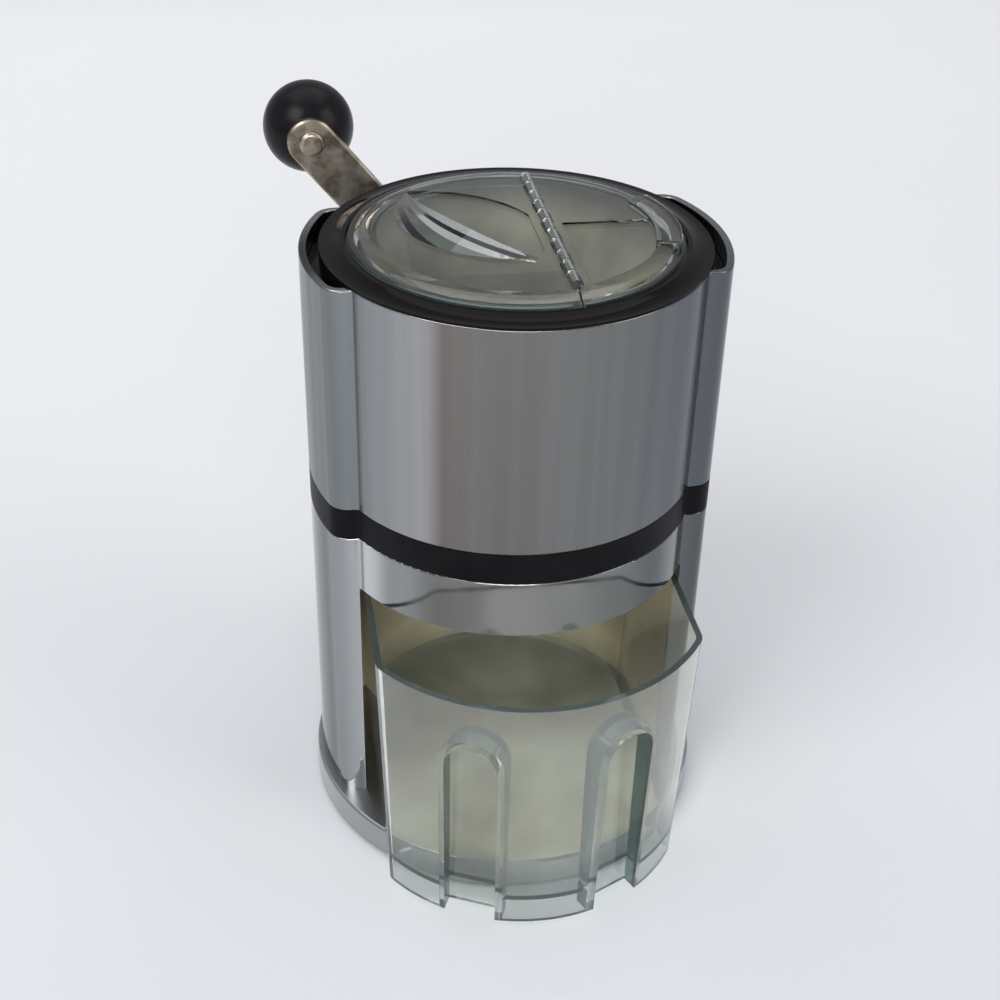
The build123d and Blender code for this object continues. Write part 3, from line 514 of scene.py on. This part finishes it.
screw_steel = new_finish("screw_steel", (0.42, 0.42, 0.42), 0.35, 1.0)
vary_roughness(screw_steel, pattern(screw_steel, 500.0), 0.28, 0.45)
wear(
    screw_steel,
    "base_screws",
    "housing_screws",
    "frame_screws",
    "thrust_washer",
    "crank_washer",
    "cap_nut",
)

# Painted shade: the pin is dark for how it looks through the lid.
painted_dark_pin = new_finish("painted_dark_pin", (0.05, 0.05, 0.045), 0.4, shine=0.2)
vary_colour(painted_dark_pin, pattern(painted_dark_pin, 200.0), (0.035, 0.035, 0.03), (0.07, 0.07, 0.06))
wear(painted_dark_pin, "flap_pin")

# %% [markdown]
# ## Crank and knob
# The arm is nickel plate that hands have dulled, so its tone is blotchy and brownish. The ball
# knob is a black moulding with a soft sheen.

# %% Crank and knob
worn_nickel = new_finish("worn_nickel", (0.34, 0.28, 0.22), 0.3, 1.0)
vary_colour(
    worn_nickel, pattern(worn_nickel, 160.0, detail=6.0), (0.16, 0.12, 0.09), (0.50, 0.44, 0.36)
)
vary_roughness(worn_nickel, pattern(worn_nickel, 220.0), 0.2, 0.42)
wear(worn_nickel, "crank_arm", "knob_spindle")

knob_black = new_finish("knob_black", (0.006, 0.006, 0.007), 0.3, shine=0.12)
vary_colour(knob_black, pattern(knob_black, 70.0), (0.004, 0.004, 0.005), (0.009, 0.009, 0.010))
vary_roughness(knob_black, pattern(knob_black, 90.0), 0.22, 0.34)
wear(knob_black, "ball_knob")

# %% [markdown]
# ## Rubber
# The pad under the base is matt black rubber, and can only be seen from below.

# %% Rubber pad
rubber = new_finish("rubber", (0.02, 0.02, 0.02), 0.7)
vary_colour(rubber, pattern(rubber, 90.0), (0.015, 0.015, 0.015), (0.028, 0.028, 0.028))
wear(rubber, "rest_pad")

# %% [markdown]
# ## Floor
# The view looks down on the crusher, so the floor, a pale paper, fills the picture. It is painted
# a little darker in front than behind, as shade. A tone along Y paints that shade, and keeps the
# paper behind from burning out.

# %% Floor
FLOOR_RADIUS = 9.0
FLOOR_SHADE_FRONT, FLOOR_SHADE_BACK = -0.15, 0.95  # metres along Y between which the paper gets lighter

floor_mesh = bmesh.new()
bmesh.ops.create_circle(floor_mesh, cap_ends=True, segments=96, radius=FLOOR_RADIUS)
floor_data = bpy.data.meshes.new("floor")
floor_mesh.to_mesh(floor_data)
floor_mesh.free()
floor = bpy.data.objects.new("floor", floor_data)
bpy.context.scene.collection.objects.link(floor)
floor_finish = new_finish("floor_paper", (0.78, 0.79, 0.81), 0.9, shine=0.0)
paper_tone = vary_colour(
    floor_finish, pattern(floor_finish, 3.0), (0.985, 0.985, 0.985), (1.0, 1.0, 1.0)
)
# Painted shade: the paper is darker in front.
shade_colour(
    floor_finish,
    paper_tone,
    along(floor_finish, "Y", FLOOR_SHADE_FRONT, FLOOR_SHADE_BACK, 0, 1),
    (0.6, 0.61, 0.635),
    (0.96, 0.96, 0.97),
)
floor_data.materials.append(floor_finish)
print("floor radius in metres:", FLOOR_RADIUS)

# %% [markdown]
# ## Light
# A pale sky and four soft lamps. The key from the left models the drum, a weaker fill lifts the
# right side, a large lamp behind and above draws the soft shadow forwards, and a low one in
# front lights the cup.

# %% Light
world = bpy.data.worlds.new("studio")
world.use_nodes = True
sky = world.node_tree.nodes["Background"]
sky.inputs["Color"].default_value = (0.80, 0.82, 0.86, 1.0)
sky.inputs["Strength"].default_value = 0.53
bpy.context.scene.world = world


def softbox(name, place, aim, width, height, power):
    """A rectangular area lamp at place that looks at aim."""
    lamp_data = bpy.data.lights.new(name, "AREA")
    lamp_data.shape = "RECTANGLE"
    lamp_data.size = width
    lamp_data.size_y = height
    lamp_data.energy = power
    lamp = bpy.data.objects.new(name, lamp_data)
    lamp.location = place
    lamp.rotation_euler = (Vector(aim) - Vector(place)).to_track_quat("-Z", "Y").to_euler()
    bpy.context.scene.collection.objects.link(lamp)
    print("lamp", name, "at", place, "with", power, "W")


softbox("key", (-0.9, -0.7, 1.3), (0, 0, 0.1), 0.8, 0.8, 13.0)
softbox("fill", (1.1, -0.6, 0.9), (0, 0, 0.1), 0.7, 1.0, 5.5)
softbox("top", (0.0, 0.55, 1.9), (0, 0.1, 0.1), 2.2, 1.4, 12.5)
softbox("front", (-0.25, -1.4, 0.5), (0, 0, 0.07), 0.9, 0.4, 9.5)

# %% [markdown]
# ## Camera
# The camera's place, its turn and its lens come from matching the drum's edges, the band and the
# plinth to the photograph. It looks down by about 33 degrees and is rolled a little.

# %% Camera
CAMERA_PLACE = (-0.0800, -0.4302, 0.3932)

camera_data = bpy.data.cameras.new("camera")
camera_data.sensor_width = 36.0
camera_data.lens = 55.7
camera_data.clip_start = 0.01
camera = bpy.data.objects.new("camera", camera_data)
turn, tilt, roll = radians(-10.157), radians(32.968), radians(1.559)
ahead = Vector((-sin(turn) * cos(tilt), cos(turn) * cos(tilt), -sin(tilt)))
level = Vector((cos(turn), sin(turn), 0))
upward = level.cross(ahead)
across = cos(roll) * level + sin(roll) * upward
above = cos(roll) * upward - sin(roll) * level
facing = Matrix((across, above, -ahead)).transposed().to_4x4()
camera.matrix_world = Matrix.Translation(CAMERA_PLACE) @ facing
bpy.context.scene.collection.objects.link(camera)
bpy.context.scene.camera = camera
bpy.context.scene.view_settings.view_transform = "Standard"
print("camera at", CAMERA_PLACE, "with a lens of", camera_data.lens, "mm")
